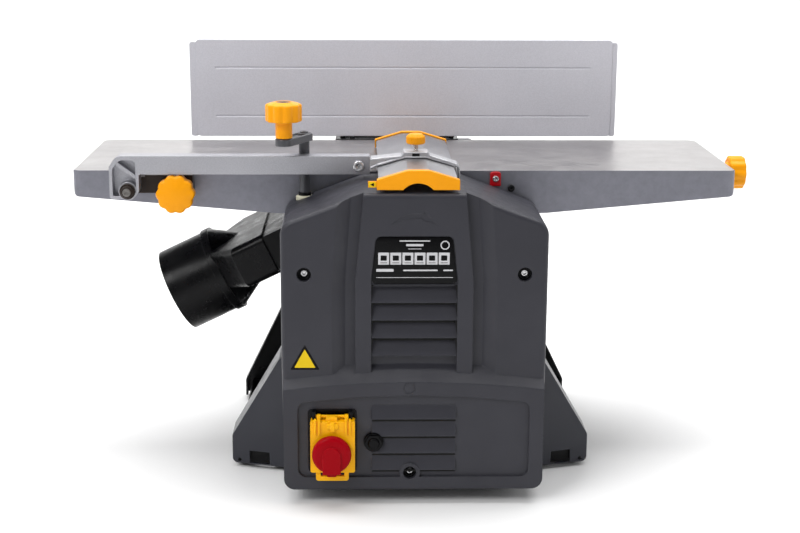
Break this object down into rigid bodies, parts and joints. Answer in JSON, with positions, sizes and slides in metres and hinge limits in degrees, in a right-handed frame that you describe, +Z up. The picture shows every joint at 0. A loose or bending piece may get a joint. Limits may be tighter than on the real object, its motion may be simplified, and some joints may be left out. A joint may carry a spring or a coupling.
{
  "type": "thickness planer",
  "caption": "Bench-top surface planer and thicknesser: two tables over a covered cutterblock, fence, bridge guard, crank-lifted bed, dust outlet to one side.",
  "frame": {"origin": "on the floor, midway between the four bench bolt holes", "axes": "+X towards the infeed end of the tables, +Y from the operator's side towards the fence, +Z up"},
  "size_m": [0.761, 0.4722, 0.463],
  "materials": {
    "table_cast": "milled on top, satin cast on the sides",
    "sheet_aluminium": "satin anodised sheet",
    "guard_cast": "fine cast, bead blasted",
    "saddle_cast": "rough bright cast",
    "guard_sheet": "satin extrusion",
    "cover_plastic": "fine-textured dark grey moulding",
    "skirt_paint": "dark grey powder coat",
    "black_steel": "black powder coat",
    "black_plastic": "satin black moulding",
    "yellow_plastic": "satin orange-yellow moulding",
    "red_plastic": "semi-gloss red moulding",
    "red_metal": "red coat",
    "steel": "turned and ground",
    "knife_steel": "ground",
    "grey_cast": "dark grey coat",
    "dark_steel": "dark bronze coat",
    "rubber": "matt",
    "bushing_plastic": "cream nylon",
    "gear_plastic": "natural nylon",
    "chain_steel": "oiled",
    "bed_cast": "milled",
    "motor_steel": "grey coat",
    "green_plastic": "green moulding"
  },
  "bodies": {
    "root": {"base_tray": "black_steel", "rubber_feet": "rubber", "side_plate_front": "black_steel", "side_plate_rear": "black_steel", "cross_bars": "steel", "outfeed_table": "table_cast", "shaft_bearings": "steel", "drive_belt": "rubber", "motor_housing": "motor_steel", "feed_chain": "chain_steel", "guide_posts": "steel", "lift_chain": "chain_steel", "shaft_bushing": "bushing_plastic", "front_cover": "cover_plastic", "cover_screws": "steel", "rear_cover": "cover_plastic", "front_skirt": "skirt_paint", "rear_skirt": "black_steel", "cable_gland": "black_plastic", "switch_box": "black_plastic", "reset_socket": "black_plastic", "arm_bracket": "dark_steel", "fence_base": "black_steel"},
    "cutter": {"cutterblock": "steel", "cutter_knives": "knife_steel", "cutter_wedges": "steel", "cutter_pulley": "steel", "cutter_pinion": "steel"},
    "motor": {"motor_shaft": "steel", "motor_pulley": "steel"},
    "gear_one": {"gear_first": "gear_plastic"},
    "gear_two": {"gear_second": "gear_plastic"},
    "roller_left": {"feed_roller_left": "steel", "roller_sprocket_left": "steel"},
    "roller_right": {"feed_roller_right": "steel", "roller_gears_right": "gear_plastic"},
    "pawls": {"kickback_pawls": "steel"},
    "bed": {"thicknesser_bed": "bed_cast"},
    "crank": {"crank_shaft": "steel", "crank_arm": "grey_cast"},
    "crank_grip": {"crank_knob": "yellow_plastic"},
    "rear_screw": {"lift_screw": "steel"},
    "infeed": {"infeed_table": "table_cast", "depth_pointer": "red_metal"},
    "depth_adjuster": {"depth_knob": "yellow_plastic"},
    "guard_carrier": {"guard_arm": "guard_cast", "guard_saddle": "saddle_cast"},
    "guard": {"guard_plate": "guard_sheet", "guard_caps": "yellow_plastic"},
    "guard_clamp": {"guard_knob": "yellow_plastic"},
    "arm_lock": {"arm_lock_knob": "yellow_plastic"},
    "fence_carriage": {"fence_slide": "black_steel"},
    "fence": {"fence_plate": "sheet_aluminium"},
    "fence_clamp": {"fence_lever": "black_plastic"},
    "chute": {"dust_hood": "black_plastic", "hose_adapter": "black_plastic"},
    "flap": {"switch_flap": "yellow_plastic"},
    "stop": {"stop_button": "red_plastic"},
    "start": {"start_button": "green_plastic"},
    "reset": {"reset_button": "black_plastic"}
  },
  "joints": [
    {"name": "cutter_spin", "type": "hinge", "parent": "root", "child": "cutter", "pos_m": [0.005, 0, 0.3135], "axis": [0, 1, 0], "continuous": true},
    {"name": "motor_spin", "type": "hinge", "parent": "root", "child": "motor", "pos_m": [0.005, 0, 0.072], "axis": [0, 1, 0], "continuous": true},
    {"name": "gear_one_spin", "type": "hinge", "parent": "root", "child": "gear_one", "pos_m": [0.005, 0, 0.2775], "axis": [0, 1, 0], "continuous": true},
    {"name": "gear_two_spin", "type": "hinge", "parent": "root", "child": "gear_two", "pos_m": [0.03923, 0, 0.26635], "axis": [0, 1, 0], "continuous": true},
    {"name": "roller_left_spin", "type": "hinge", "parent": "root", "child": "roller_left", "pos_m": [-0.039, 0, 0.301], "axis": [0, 1, 0], "continuous": true},
    {"name": "roller_right_spin", "type": "hinge", "parent": "root", "child": "roller_right", "pos_m": [0.049, 0, 0.301], "axis": [0, 1, 0], "continuous": true},
    {"name": "pawl_swing", "type": "hinge", "parent": "root", "child": "pawls", "pos_m": [-0.074, 0, 0.304], "axis": [0, -1, 0], "range_deg": [0, 30]},
    {"name": "bed_lift", "type": "slide", "parent": "root", "child": "bed", "axis": [0, 0, 1], "range_m": [-0.064, 0]},
    {"name": "crank_turn", "type": "hinge", "parent": "root", "child": "crank", "pos_m": [-0.118, -0.119, 0.2], "axis": [0, 0, 1], "range_deg": [-11530, 10]},
    {"name": "rear_screw_turn", "type": "hinge", "parent": "root", "child": "rear_screw", "pos_m": [0.118, 0.119, 0.1], "axis": [0, 0, 1], "range_deg": [-11530, 10]},
    {"name": "crank_grip_spin", "type": "hinge", "parent": "crank", "child": "crank_grip", "pos_m": [-0.138, -0.157, 0.4], "axis": [0, 0, 1], "continuous": true},
    {"name": "infeed_slide", "type": "slide", "parent": "root", "child": "infeed", "axis": [0.9703, 0, -0.2419], "range_m": [0, 0.012]},
    {"name": "depth_knob_turn", "type": "hinge", "parent": "infeed", "child": "depth_adjuster", "pos_m": [0.36, -0.05, 0.328], "axis": [1, 0, 0], "range_deg": [-5, 2900]},
    {"name": "guard_arm_pivot", "type": "hinge", "parent": "root", "child": "guard_carrier", "pos_m": [-0.3085, -0.134, 0.3235], "axis": [0, -1, 0], "range_deg": [0, 3.5]},
    {"name": "guard_slide", "type": "slide", "parent": "guard_carrier", "child": "guard", "axis": [0, 1, 0], "range_m": [-0.15, 0]},
    {"name": "guard_clamp_turn", "type": "hinge", "parent": "guard_carrier", "child": "guard_clamp", "pos_m": [0.0035, -0.134, 0.372], "axis": [0, 0, 1], "range_deg": [0, 720]},
    {"name": "arm_lock_turn", "type": "hinge", "parent": "root", "child": "arm_lock", "pos_m": [-0.257, -0.13, 0.3203], "axis": [0, -1, 0], "range_deg": [0, 360]},
    {"name": "fence_slide_travel", "type": "slide", "parent": "root", "child": "fence_carriage", "axis": [0, 1, 0], "range_m": [-0.06, 0]},
    {"name": "fence_tilt", "type": "hinge", "parent": "fence_carriage", "child": "fence", "pos_m": [0, 0.124, 0.351], "axis": [-1, 0, 0], "range_deg": [0, 45]},
    {"name": "fence_clamp_turn", "type": "hinge", "parent": "fence_carriage", "child": "fence_clamp", "pos_m": [-0.01, 0.14521, 0.37221], "axis": [1, 0, 0], "range_deg": [0, 40]},
    {"name": "chute_pull_out", "type": "slide", "parent": "bed", "child": "chute", "axis": [-1, 0, 0], "range_m": [0, 0.3]},
    {"name": "switch_flap_hinge", "type": "hinge", "parent": "root", "child": "flap", "pos_m": [-0.086, -0.244, 0.1015], "axis": [-1, 0, 0], "range_deg": [0, 110]},
    {"name": "stop_press", "type": "slide", "parent": "flap", "child": "stop", "axis": [0, 1, 0], "range_m": [0, 0.0035], "stiffness_N_per_m": 600},
    {"name": "start_press", "type": "slide", "parent": "root", "child": "start", "axis": [0, 1, 0], "range_m": [0, 0.003], "stiffness_N_per_m": 500},
    {"name": "reset_press", "type": "slide", "parent": "root", "child": "reset", "axis": [0, 1, 0], "range_m": [0, 0.003], "stiffness_N_per_m": 500}
  ],
  "couplings": [
    {"joint": "motor_spin", "follows": "cutter_spin", "ratio": 1.3333},
    {"joint": "gear_one_spin", "follows": "cutter_spin", "ratio": -0.2},
    {"joint": "gear_two_spin", "follows": "cutter_spin", "ratio": 0.04},
    {"joint": "roller_left_spin", "follows": "cutter_spin", "ratio": -0.008},
    {"joint": "roller_right_spin", "follows": "cutter_spin", "ratio": -0.008},
    {"joint": "crank_turn", "follows": "bed_lift", "rad_per_m": 3141.6},
    {"joint": "rear_screw_turn", "follows": "bed_lift", "rad_per_m": 3141.6},
    {"joint": "depth_knob_turn", "follows": "infeed_slide", "rad_per_m": 4188.8}
  ]
}
